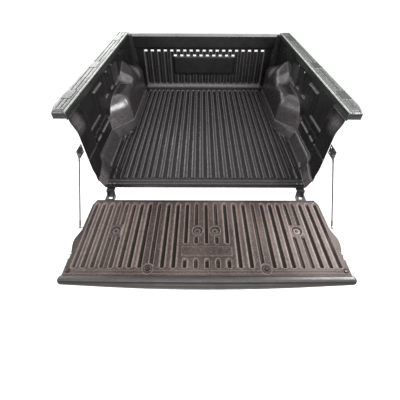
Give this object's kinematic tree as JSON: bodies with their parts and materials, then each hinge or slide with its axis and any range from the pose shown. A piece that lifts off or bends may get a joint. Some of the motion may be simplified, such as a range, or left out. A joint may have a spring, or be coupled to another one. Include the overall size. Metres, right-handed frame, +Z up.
{
  "type": "truck bed liner",
  "caption": "Drop-in liner for a pickup bed: ribbed tub with wheel-arch covers and vented bulkhead, over-rail caps, and a hinged lined tailgate on cable stays.",
  "frame": {"origin": "middle of the tub's underside, which lies on the truck's bed floor", "axes": "X across the bed with +X on the right, +Y towards the cab, +Z up; the tailgate is open and level"},
  "size_m": [1.6, 2.1772, 0.605],
  "materials": {
    "tub_plastic": "black polyethylene, fine grain, semi-gloss",
    "rail_plastic": "dark grey polyethylene, fine ribbed grain",
    "cap_plastic": "pale grey plastic strip, satin",
    "gate_plastic": "dark grey polyethylene, dusty",
    "black_plastic": "black textured plastic",
    "dark_paint": "black paint, satin",
    "zinc_steel": "zinc-plated steel",
    "cable_steel": "stranded steel cable"
  },
  "bodies": {
    "tub": {"bracket_screws": "zinc_steel", "bulkhead_cap": "cap_plastic", "hinge_bracket_left": "dark_paint", "hinge_bracket_right": "dark_paint", "hinge_pin_left": "zinc_steel", "hinge_pin_right": "zinc_steel", "pocket_cover_front_left": "rail_plastic", "pocket_cover_front_right": "rail_plastic", "pocket_cover_middle_left": "rail_plastic", "pocket_cover_middle_right": "rail_plastic", "pocket_cover_rear_left": "rail_plastic", "pocket_cover_rear_right": "rail_plastic", "rail_cap_left": "rail_plastic", "rail_cap_right": "rail_plastic", "stay_bracket_left": "zinc_steel", "stay_bracket_right": "zinc_steel", "stay_cable_left": "cable_steel", "stay_cable_right": "cable_steel", "stay_eye_upper_left": "zinc_steel", "stay_eye_upper_right": "zinc_steel", "tub_liner": "tub_plastic", "wall_screws": "zinc_steel"},
    "tailgate": {"hinge_knuckle_left": "dark_paint", "hinge_knuckle_right": "dark_paint", "latch_left": "zinc_steel", "latch_right": "zinc_steel", "recess_screws": "zinc_steel", "recess_washers": "zinc_steel", "stay_eye_lower_left": "zinc_steel", "stay_eye_lower_right": "zinc_steel", "stay_stud_left": "zinc_steel", "stay_stud_right": "zinc_steel", "surface_screws": "zinc_steel", "tailgate_cap": "black_plastic", "tailgate_liner": "gate_plastic", "tailgate_shell": "dark_paint"}
  },
  "joints": [
    {"name": "tailgate_hinge", "type": "hinge", "parent": "tub", "child": "tailgate", "pos_m": [0, -0.84, -0.039], "axis": [-1, 0, 0], "range_deg": [0, 90], "deforming": ["stay_cable_left", "stay_cable_right"]}
  ]
}
